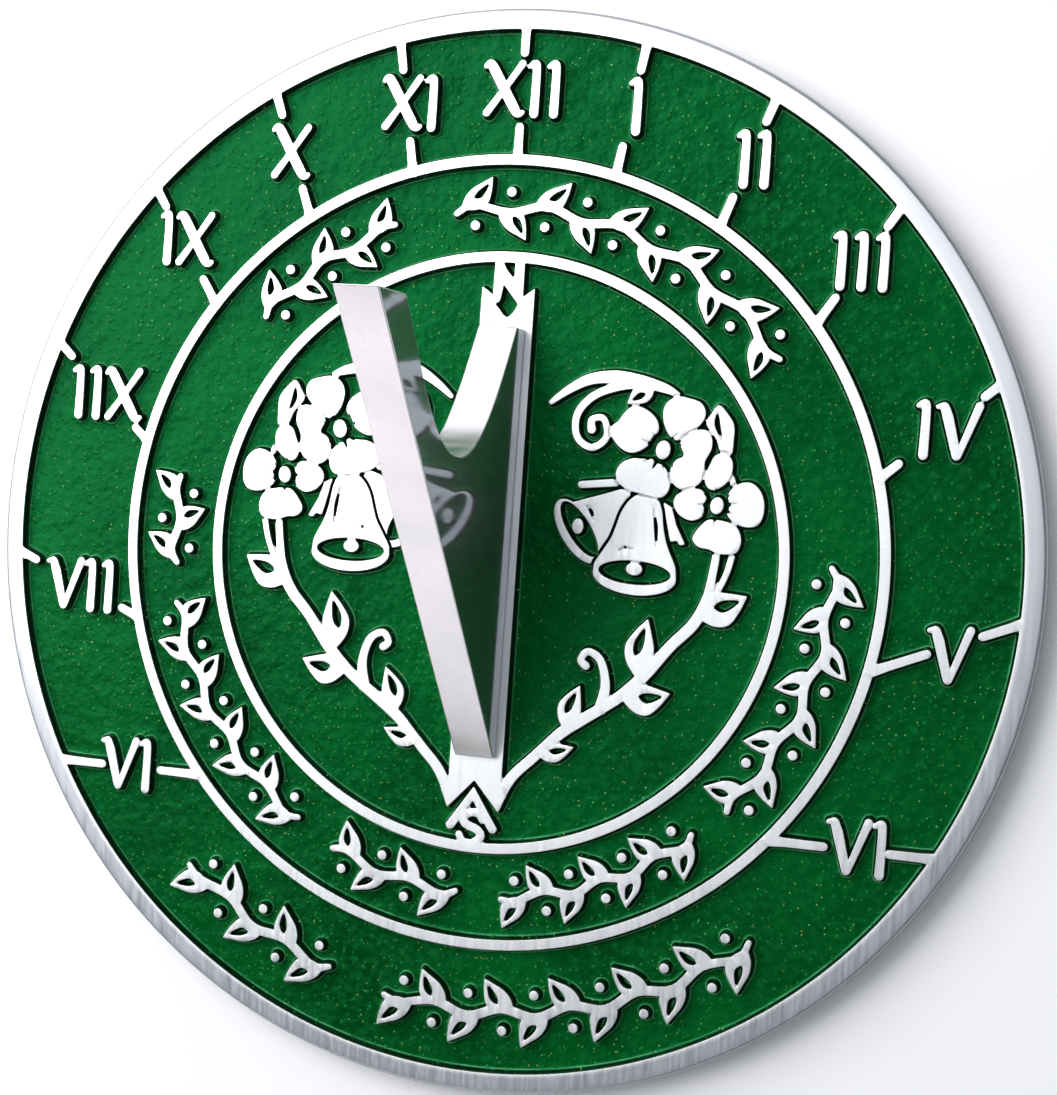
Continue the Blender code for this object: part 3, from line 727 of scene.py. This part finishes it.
def make_casting(relief):
    """The casting: flat tops, softened edges, walls down to the floor, rim and underside."""
    loops = [loop for loop in relief.loops if max(math.hypot(*p) for p in loop) < RIM_TOP]
    points, edges = relief.rows([offset for offset, _ in CASTING_ROWS], loops)
    first = len(points)
    points += [(x, y, -1.0) for x, y in circle(RIM_TOP)]
    edges += [(first + i, first + (i + 1) % CIRCLE_STEPS) for i in range(CIRCLE_STEPS)]

    def height(x, y, distance):
        return stepped(CASTING_ROWS, distance)

    places, faces = sheet_mesh(relief, points, edges, height, lambda x, y: True, RIM_TOP)
    rows = [(radius, TOP - drop) for radius, drop in RIM_ROWS] + LOWER_EDGE_ROWS
    lathe(places, faces, rows, closed_end=False)
    base = [Vector(p) for p in circle(rows[-1][0])]
    outlines = [list(range(CIRCLE_STEPS))]
    for side in ("south", "north"):
        mouth = bore(places, faces, side)
        outlines.append(list(range(len(base), len(base) + len(mouth))))
        base += [Vector(p) for p in mouth]
    flat, _, triangles, _, _, sources = delaunay_2d_cdt(base, [], outlines, 1, CDT_TOLERANCE,
                                                        True)
    start = len(places)
    places += [(p.x * PLAN, p.y * PLAN, 0.0) for p in flat]
    faces += [tuple(start + i for i in reversed(triangle))
              for triangle, ids in zip(triangles, sources) if list(ids) == [0]]
    piece = new_piece("dial_casting", places, faces)
    smooth(piece, CASTING_CREASE)
    flat_tops = piece.modifiers.new("flat tops", "WEIGHTED_NORMAL")
    flat_tops.keep_sharp = True
    flat_tops.weight = 100
    return piece


BORE_STEPS = 48
BORE_CLEARANCE = 0.35  # plan units round the washer
BORE_CHAMFER = (0.2, 0.2 * MM)  # plan units wide, metres high
BORE_CEILING_GAP = 0.25 * MM
SCREW_HOLE_RADIUS = 1.8 * MM
SCREW_HOLE_TOP = TOP - 0.4 * MM


def bore(points, faces, side):
    """A counterbore and its screw hole, open at the underside; returns its mouth."""
    low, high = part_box("gnomon_washer_" + side)
    centre = ((low.x + high.x) / 2 / PLAN, (low.y + high.y) / 2 / PLAN)
    mouth = (high.x - low.x) / 2 / PLAN + BORE_CLEARANCE
    hole = SCREW_HOLE_RADIUS / PLAN
    ceiling = high.z + BORE_CEILING_GAP
    chamfer_width, chamfer_height = BORE_CHAMFER
    rows = [(mouth + chamfer_width, 0.0), (mouth, chamfer_height), (mouth, ceiling),
            (hole, ceiling), (hole, SCREW_HOLE_TOP)]
    lathe(points, faces, rows, centre, BORE_STEPS)
    return ellipse(centre, rows[0][0], rows[0][0], 0.0, BORE_STEPS)


# ---------------------------------------- the enamel

# How the enamel climbs at a raised edge: (plan units out from the outline, height).
ENAMEL_ROWS = [(0.12, ENAMEL_TOP + 0.62 * MM), (0.24, ENAMEL_TOP + 0.46 * MM),
               (0.36, ENAMEL_TOP + 0.28 * MM), (0.5, ENAMEL_TOP + 0.15 * MM),
               (0.64, ENAMEL_TOP + 0.09 * MM), (0.8, ENAMEL_TOP + 0.03 * MM), (1.05, ENAMEL_TOP)]
GRID = 1.5
GRID_ROW_PITCH = 0.87  # rows of a grid of nearly even triangles
GRID_CLEARANCE = 0.3  # plan units between the grid and the last row
# The enamel's swells: (scale, layer of the noise, height in millimetres).
SWELLS = [(0.3, 3.0, 0.06), (0.8, 7.0, 0.03)]
CALM_START, CALM_REACH = 0.5, 1.2  # where the swells begin beside an outline


def enamel_field(x, y):
    """The name of the enamel field that a place belongs to."""
    radius = math.hypot(x, y)
    if radius > sum(OUTER_RING) / 2:
        return "outer_enamel"
    if radius > sum(INNER_RING) / 2:
        return "middle_enamel"
    return "centre_enamel_east" if x > 0 else "centre_enamel_west"


def make_enamel(relief):
    """The four fields of enamel, each a thin sheet that climbs a little at the raised edges."""
    loops = [loop for loop in relief.loops if max(math.hypot(*p) for p in loop) < PLAN_RADIUS - 1]
    points, edges = relief.rows([offset for offset, _ in ENAMEL_ROWS], loops)
    count = int(RIM_INNER / GRID)
    for row in range(-count, count + 1):
        for column in range(-count, count + 1):
            x = (column + 0.5 * (row % 2)) * GRID
            y = row * GRID * GRID_ROW_PITCH
            if math.hypot(x, y) > RIM_INNER - 1 or relief.is_raised(x, y):
                continue
            distance = relief.distance(x, y)
            if distance > ENAMEL_ROWS[-1][0] + GRID_CLEARANCE:
                points.append((x, y, distance))

    def height(x, y, distance):
        bump = sum(noise.noise(Vector((x * scale, y * scale, layer))) * size
                   for scale, layer, size in SWELLS)
        calm = min(max((distance - CALM_START) / CALM_REACH, 0.0), 1.0)
        return stepped(ENAMEL_ROWS, distance) + bump * calm * MM

    places, faces = sheet_mesh(relief, points, edges, height,
                               lambda x, y: not relief.is_raised(x, y), RIM_INNER)
    fields = {}
    for face in faces:
        x = sum(places[i][0] for i in face) / 3 / PLAN
        y = sum(places[i][1] for i in face) / 3 / PLAN
        fields.setdefault(enamel_field(x, y), []).append(face)
    pieces = {}
    for name, field in sorted(fields.items()):
        piece = new_piece(name + "_coat", places, field)
        piece.data.shade_smooth()
        pieces[name] = piece
    return pieces


# ---------------------------------------- the gnomon

BROKEN_EDGE = 0.3 * MM
BEVEL_ANGLE = 35.0
GNOMON_CREASE = 32.0
SAME_POINT = 1e-5  # metres
CURVE_STEPS = 24


def gnomon_profile():
    """The gnomon's side view as (y, height above the tops), in plan units, anticlockwise."""
    upper = cubic((16.8, 33.0), (16.8, 46.6), (30.6, 54.5), (40.5, 64.0), CURVE_STEPS)
    lower = cubic((40.5, 4.8), (29.2, 12.8), (16.8, 21.5), (16.8, 33.0), CURVE_STEPS)
    return [(-36.7, 0.3), (40.5, 0.3)] + lower + upper + [(40.5, 64.0), (40.5, 76.4), (-36.7, 1.2)]


def make_gnomon():
    """The gnomon: a thick polished plate with slightly broken edges."""
    outline = thin_out([(y * PLAN, TOP + z * PLAN) for y, z in gnomon_profile()], SAME_POINT)
    points = [(x, y, z) for x in (GNOMON_HIGH.x, -GNOMON_HIGH.x) for y, z in outline]
    count = len(outline)
    faces = [tuple(range(count)), tuple(reversed(range(count, 2 * count)))]
    for i in range(count):
        j = (i + 1) % count
        faces.append((i, count + i, count + j, j))
    piece = new_piece("gnomon_plate", points, faces)
    bevel = piece.modifiers.new("broken edges", "BEVEL")
    bevel.width = BROKEN_EDGE
    bevel.segments = 3
    bevel.limit_method = "ANGLE"
    bevel.angle_limit = math.radians(BEVEL_ANGLE)
    bevel.harden_normals = True
    smooth(piece, GNOMON_CREASE)
    return piece


# ---------------------------------------- materials

class Look:
    """A material's node tree, with short ways to add to it."""

    def __init__(self, name):
        self.material = bpy.data.materials.new(name)
        self.material.use_nodes = True
        self.tree = self.material.node_tree
        self.shader = self.tree.nodes["Principled BSDF"]
        self.place = self.add("ShaderNodeTexCoord").outputs["Object"]

    def add(self, kind, **values):
        node = self.tree.nodes.new(kind)
        for key, value in values.items():
            if hasattr(node, key):
                setattr(node, key, value)
            else:
                self.set(node.inputs[key.replace("_", " ")], value)
        return node

    def set(self, socket, value):
        if isinstance(value, bpy.types.NodeSocket):
            self.tree.links.new(value, socket)
        else:
            socket.default_value = value

    def shade(self, **values):
        for key, value in values.items():
            self.set(self.shader.inputs[key.replace("_", " ")], value)

    def math(self, operation, a, b=0.0, c=0.0):
        node = self.add("ShaderNodeMath", operation=operation)
        for socket, value in zip(node.inputs, (a, b, c)):
            self.set(socket, value)
        return node.outputs[0]

    def times(self, a, b):
        return self.math("MULTIPLY", a, b)

    def stretch(self, scale, turn=(0.0, 0.0, 0.0)):
        node = self.add("ShaderNodeMapping", Vector=self.place, Scale=scale, Rotation=turn)
        return node.outputs[0]

    def noise(self, scale, detail, vector=None):
        node = self.add("ShaderNodeTexNoise", Vector=vector or self.place, Scale=scale,
                        Detail=detail)
        return node.outputs["Fac"]

    def cells(self, scale, output="Distance"):
        """Flat cells: the distance to each cell's point, or a colour of the cell's own."""
        node = self.add("ShaderNodeTexVoronoi", voronoi_dimensions="2D", Vector=self.place,
                        Scale=scale)
        return node.outputs[output]

    def span(self, value, low, high, to_low=0.0, to_high=1.0):
        """The value, taken from one range to another and held inside it."""
        node = self.add("ShaderNodeMapRange", clamp=True)
        for socket, number in zip(node.inputs, (value, low, high, to_low, to_high)):
            self.set(socket, number)
        return node.outputs[0]

    def mix(self, factor, a, b):
        node = self.add("ShaderNodeMix", data_type="RGBA")
        self.set(node.inputs["Factor"], factor)
        for socket, value in zip([i for i in node.inputs if i.type == "RGBA"], (a, b)):
            self.set(socket, value)
        return [o for o in node.outputs if o.type == "RGBA"][0]

    def bump(self, height, distance, strength, normal=None):
        node = self.add("ShaderNodeBump", Height=height, Distance=distance, Strength=strength)
        if normal is not None:
            self.set(node.inputs["Normal"], normal)
        return node.outputs[0]

    def radius(self):
        """Distance from the dial's middle, in metres."""
        flat = self.add("ShaderNodeVectorMath", operation="MULTIPLY")
        self.set(flat.inputs[0], self.place)
        flat.inputs[1].default_value = (1.0, 1.0, 0.0)
        length = self.add("ShaderNodeVectorMath", operation="LENGTH")
        self.set(length.inputs[0], flat.outputs[0])
        return length.outputs["Value"]

    def height(self):
        """Height above the underside, in metres."""
        return self.add("ShaderNodeSeparateXYZ", Vector=self.place).outputs["Z"]


ENAMEL_LIGHT = (0.0006, 0.082, 0.011, 1.0)
ENAMEL_DARK = (0.0, 0.036, 0.0028, 1.0)
# lighter green for the fine grain, and for the painted glints on the pimples
ENAMEL_GRAIN_AND_PAINTED_GLINT = (0.004, 0.11, 0.018, 1.0)
# near-black enamel: painted shade on the walls and at the foot of raised edges
ENAMEL_PAINTED_SHADE = (0.0005, 0.0055, 0.002, 1.0)
# pale green for a thin line beside raised edges: a painted highlight
ENAMEL_PAINTED_HIGHLIGHT = (0.1, 0.32, 0.16, 1.0)
GLITTER = (0.3, 0.33, 0.09, 1.0)
GLITTER_PALE = (0.16, 0.42, 0.17, 1.0)
ENAMEL_TINT = (0.03, 0.8, 0.27, 1.0)
ENAMEL_IOR = 1.42
SHARE_EDGE = 0.02  # how softly cells are chosen


def some(look, scale, share):
    """A mask of the share of the cells that are chosen."""
    return look.span(look.cells(scale, "Color"), 1.0 - share, 1.0 + SHARE_EDGE - share)


def specks(look, scale, radius, share):
    """A mask of small round specks, one in some of the cells."""
    near = look.span(look.cells(scale), radius * 0.6, radius, 1.0, 0.0)
    return look.times(near, some(look, scale, share))


def domes(look, scale, radius, share):
    """A height map of small round pimples, one in some of the cells."""
    near = look.span(look.cells(scale), 0.0, radius, 1.0, 0.0)
    dome = look.math("SUBTRACT", 1.0, look.math("POWER", look.math("SUBTRACT", 1.0, near), 2.0))
    return look.times(dome, some(look, scale, share))


def enamel_look():
    """Glossy green with fine grain, pimples and glitter; painted shade makes it near-black at the
    edges, with a pale line of painted highlight beside them, and the pimples are lightened as
    painted glints.
    """
    look = Look("green enamel")
    patch = look.noise(26.0, 3.0)
    grain = look.noise(640.0, 4.0)
    swell = look.noise(230.0, 2.0)
    color = look.mix(look.span(patch, 0.33, 0.67), ENAMEL_DARK, ENAMEL_LIGHT)
    color = look.mix(look.span(grain, 0.48, 0.72, 0.0, 0.6), color, ENAMEL_GRAIN_AND_PAINTED_GLINT)
    above = look.math("SUBTRACT", look.height(), ENAMEL_TOP)
    # a thin pale line about 0.6 mm out from each raised edge: painted highlight, broken up by
    # noise
    line = look.times(look.span(above, 0.06 * MM, 0.09 * MM),
                      look.span(above, 0.12 * MM, 0.15 * MM, 1.0, 0.0))
    broken = look.span(look.noise(160.0, 3.0), 0.38, 0.6, 0.25, 0.9)
    color = look.mix(look.times(line, broken), color, ENAMEL_PAINTED_HIGHLIGHT)
    # near-black where the enamel climbs a raised edge: painted shade
    color = look.mix(look.span(above, 0.17 * MM, 0.3 * MM), color, ENAMEL_PAINTED_SHADE)
    glitter = look.math("MAXIMUM", specks(look, 430.0, 0.075, 0.34),
                        specks(look, 800.0, 0.13, 0.22))
    strewn = look.span(look.noise(60.0, 3.0), 0.36, 0.6, 0.12, 1.0)
    shine = look.mix(look.span(look.noise(300.0, 1.0), 0.4, 0.6), GLITTER, GLITTER_PALE)
    color = look.mix(look.times(glitter, strewn), color, shine)
    pimples = look.math("MAXIMUM", domes(look, 300.0, 0.14, 0.5), domes(look, 560.0, 0.18, 0.45))
    # pimples lightened in colour: painted glints
    color = look.mix(look.times(pimples, 0.8), color, ENAMEL_GRAIN_AND_PAINTED_GLINT)
    normal = look.bump(swell, 0.0005, 0.6)
    normal = look.bump(grain, 0.0002, 0.8, normal)
    normal = look.bump(pimples, 0.00009, 1.0, normal)
    look.shade(Base_Color=color, Roughness=look.span(grain, 0.3, 0.8, 0.24, 0.4),
               Metallic=0.0, Normal=normal, IOR=ENAMEL_IOR, Specular_Tint=ENAMEL_TINT)
    return look.material


METAL_DARK = (0.78, 0.79, 0.8, 1.0)
METAL_LIGHT = (0.86, 0.87, 0.88, 1.0)
BRUSH_MARK = (0.66, 0.66, 0.7, 1.0)
BRUSH_TURN = math.radians(25.0)
RIM_TONE = (0.66, 0.68, 0.76, 1.0)
# the outer side and edge of the plate, painted darker as shade
SIDE_PAINTED_SHADE = (0.36, 0.37, 0.39, 1.0)
SHADED_SIDE_RADII = (97.15, 97.35)  # plan units; where the painted shade of the side starts and is full
FLANK_LIGHT = (0.58, 0.62, 0.68, 1.0)
FLANK_DARK = (0.5, 0.54, 0.6, 1.0)
SATIN_LIGHT = (0.95, 0.91, 0.92, 1.0)
SATIN_DARK = (0.78, 0.78, 0.8, 1.0)
STYLE_FOOT_GREY = (0.46, 0.49, 0.46, 1.0)
FOOT_EDGE = 5.0 * MM
HAZE_ROUGHNESS = 0.45
HAZE_IOR = 1.8
STEEL_DARK = (0.5, 0.5, 0.52, 1.0)
STEEL_LIGHT = (0.62, 0.62, 0.64, 1.0)


def casting_look():
    """Bare brushed tops, rim and underside; the enamel has run down the walls between them,
    painted near-black as shade, and the plate's outer side is painted darker as shade.
    """
    look = Look("cast aluminium with enamelled walls in painted shade")
    strokes = look.stretch((1.0, 0.06, 1.0), (0.0, 0.0, BRUSH_TURN))
    brushed = look.noise(1400.0, 3.0, strokes)
    patch = look.noise(45.0, 3.0)
    tone = look.mix(look.span(patch, 0.3, 0.7), METAL_DARK, METAL_LIGHT)
    tone = look.mix(look.span(brushed, 0.35, 0.75, 0.0, 0.2), tone, BRUSH_MARK)
    edge = look.math("ADD", look.height(), look.times(look.noise(500.0, 2.0), 0.00012))
    bare = look.span(edge, TOP - 0.2 * MM, TOP - 0.12 * MM)
    rim = look.span(look.radius(), (RIM_INNER + 0.6) * PLAN, (RIM_INNER + 0.7) * PLAN)
    bare = look.math("MAXIMUM", bare, rim)
    underneath = look.span(look.height(), FLOOR - 0.4 * MM, FLOOR - 0.2 * MM, 1.0, 0.0)
    bare = look.math("MAXIMUM", bare, underneath)
    tone = look.mix(look.times(rim, 0.45), tone, RIM_TONE)
    # painted shade: the outer side of the plate is darkened
    side = look.span(look.radius(), SHADED_SIDE_RADII[0] * PLAN, SHADED_SIDE_RADII[1] * PLAN)
    tone = look.mix(side, tone, SIDE_PAINTED_SHADE)
    rough = look.span(brushed, 0.3, 0.7, 0.3, 0.48)
    # between the bare parts the enamelled walls are near-black: painted shade
    look.shade(Base_Color=look.mix(bare, ENAMEL_PAINTED_SHADE, tone), Metallic=bare,
               Roughness=look.math("ADD", look.times(rough, bare),
                                   look.math("MULTIPLY_ADD", bare, -0.3, 0.3)),
               Normal=look.bump(brushed, look.math("MULTIPLY_ADD", rim, -0.000022, 0.00003), 0.4))
    return look.material


def polished_look():
    """Hazy mirror flanks; the faces across the plate are brushed satin, a darker greenish grey
    near the foot of the southward face.
    """
    look = Look("polished aluminium")
    along = look.stretch((1.0, 1.0, 0.04))
    streak = look.noise(700.0, 4.0, along)
    wave = look.noise(40.0, 1.0, along)
    cloud = look.noise(55.0, 4.0)
    facing = look.add("ShaderNodeSeparateXYZ",
                      Vector=look.add("ShaderNodeNewGeometry").outputs["True Normal"]).outputs
    flank = look.span(look.math("ABSOLUTE", facing["X"]), 0.8, 0.95)
    southward = look.span(facing["Y"], -0.4, -0.6, 0.0, 1.0)
    polished = look.mix(look.span(streak, 0.45, 0.8), FLANK_LIGHT, FLANK_DARK)
    satin = look.mix(look.span(cloud, 0.32, 0.68), SATIN_DARK, SATIN_LIGHT)
    satin = look.mix(look.span(streak, 0.5, 0.75, 0.0, 0.35), satin, SATIN_DARK)
    above = look.math("ADD", look.height(), look.times(cloud, FOOT_EDGE * 0.8))
    # the southward face is a darker greenish grey near its foot
    foot = look.times(southward,
                      look.span(above, TOP + FOOT_EDGE, TOP + FOOT_EDGE * 1.6, 0.75, 0.0))
    satin = look.mix(foot, satin, STYLE_FOOT_GREY)
    crossing = look.math("MULTIPLY_ADD", southward, 0.1, 0.2)
    smooth_side = look.span(streak, 0.3, 0.8, 0.04, 0.1)
    rough = look.math("ADD", look.times(smooth_side, flank),
                      look.times(crossing, look.math("SUBTRACT", 1.0, flank)))
    normal = look.bump(streak, 0.00002, 0.3)
    normal = look.bump(wave, look.times(flank, 0.0005), 0.3, normal)
    look.shade(Base_Color=look.mix(flank, satin, polished), Metallic=1.0, Roughness=rough,
               Normal=normal, Coat_Weight=1.0, Coat_Roughness=HAZE_ROUGHNESS, Coat_IOR=HAZE_IOR)
    return look.material


def steel_look():
    look = Look("stainless steel")
    grain = look.noise(1500.0, 3.0, look.stretch((1.0, 1.0, 0.1)))
    look.shade(Base_Color=look.mix(grain, STEEL_DARK, STEEL_LIGHT),
               Metallic=1.0, Roughness=look.span(grain, 0.2, 0.8, 0.25, 0.42),
               Normal=look.bump(grain, 0.00002, 0.4))
    return look.material


def floor_look():
    look = Look("pale floor")
    look.shade(Base_Color=(0.93, 0.93, 0.93, 1.0), Roughness=0.9)
    return look.material


# ---------------------------------------- assembly

def dress(piece, material):
    piece.data.materials.clear()
    piece.data.materials.append(material)


def assemble():
    relief = Relief()
    enamel = enamel_look()
    casting = make_casting(relief)
    dress(casting, casting_look())
    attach(casting, "root")
    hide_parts("dial_plate")
    for name, piece in make_enamel(relief).items():
        dress(piece, enamel)
        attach(piece, "root")
        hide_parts(name)
    gnomon = make_gnomon()
    dress(gnomon, polished_look())
    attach(gnomon, "root")
    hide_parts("gnomon")
    steel = steel_look()
    for part in ("screw", "washer"):
        for side in ("south", "north"):
            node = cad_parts["gnomon_" + part + "_" + side]
            if node.data.materials:
                for place in node.material_slots:
                    place.material = steel
            else:
                node.data.materials.append(steel)


# ---------------------------------------- studio

FLOOR_SIZE = 4.0
FLOOR_DROP = 0.0003


def add_floor():
    mesh = bpy.data.meshes.new("floor")
    corners = [(-1, -1), (1, -1), (1, 1), (-1, 1)]
    mesh.from_pydata([(x * FLOOR_SIZE, y * FLOOR_SIZE, 0.0) for x, y in corners], [],
                     [(0, 1, 2, 3)])
    floor = add_object("floor", mesh)
    floor.location.z = -FLOOR_DROP
    dress(floor, floor_look())


SKY_COLOR = (0.84, 0.9, 1.0, 1.0)
SKY_STRENGTH = 0.28
# (name, direction, distance, size, power, colour)
LIGHTS = [
    ("key", (-0.6, 0.38, 0.7), 0.9, (0.85, 0.85), 9.5, (1.0, 1.0, 1.0)),
    ("top", (-0.12, 0.28, 0.95), 1.0, (1.0, 0.9), 2.4, (1.0, 1.0, 1.0)),
    ("north", (-0.3, 0.9, 0.27), 0.75, (0.9, 0.4), 1.35, (1.0, 1.0, 1.0)),
    ("south", (-0.3, -0.95, 0.1), 1.2, (0.7, 0.5), 1.25, (1.0, 0.93, 0.95)),
]


def add_light(name, direction, distance, size, power, color):
    """A soft box in a direction from the dial, which faces it."""
    data = bpy.data.lights.new(name, "AREA")
    data.shape = "RECTANGLE"
    data.size, data.size_y = size
    data.energy = power
    data.color = color
    light = add_object(name, data)
    light.location = Vector(direction).normalized() * distance
    light.rotation_euler = light.location.to_track_quat("Z", "Y").to_euler()


def add_lights():
    world = bpy.data.worlds.new("studio")
    bpy.context.scene.world = world
    world.use_nodes = True
    background = world.node_tree.nodes["Background"]
    background.inputs["Color"].default_value = SKY_COLOR
    background.inputs["Strength"].default_value = SKY_STRENGTH
    for values in LIGHTS:
        add_light(*values)


CAMERA_PLACE = (0.11554, 0.01519, 0.38457)
CAMERA_RIGHT = (0.95841, 0.07004, -0.27666)
CAMERA_UP = (-0.07681, 0.99695, -0.01371)
CAMERA_LENS = 70.83
CAMERA_SENSOR = 36.0
CAMERA_NEAR = 0.01


def add_camera():
    data = bpy.data.cameras.new("camera")
    data.sensor_width = CAMERA_SENSOR
    data.lens = CAMERA_LENS
    data.clip_start = CAMERA_NEAR
    camera = add_object("camera", data)
    right, up = Vector(CAMERA_RIGHT).normalized(), Vector(CAMERA_UP)
    back = right.cross(up).normalized()
    up = back.cross(right)
    turn = Matrix((right, up, back)).transposed().to_4x4()
    camera.matrix_world = Matrix.Translation(CAMERA_PLACE) @ turn
    bpy.context.scene.camera = camera


assemble()
add_floor()
add_lights()
add_camera()
bpy.context.scene.view_settings.view_transform = "Standard"
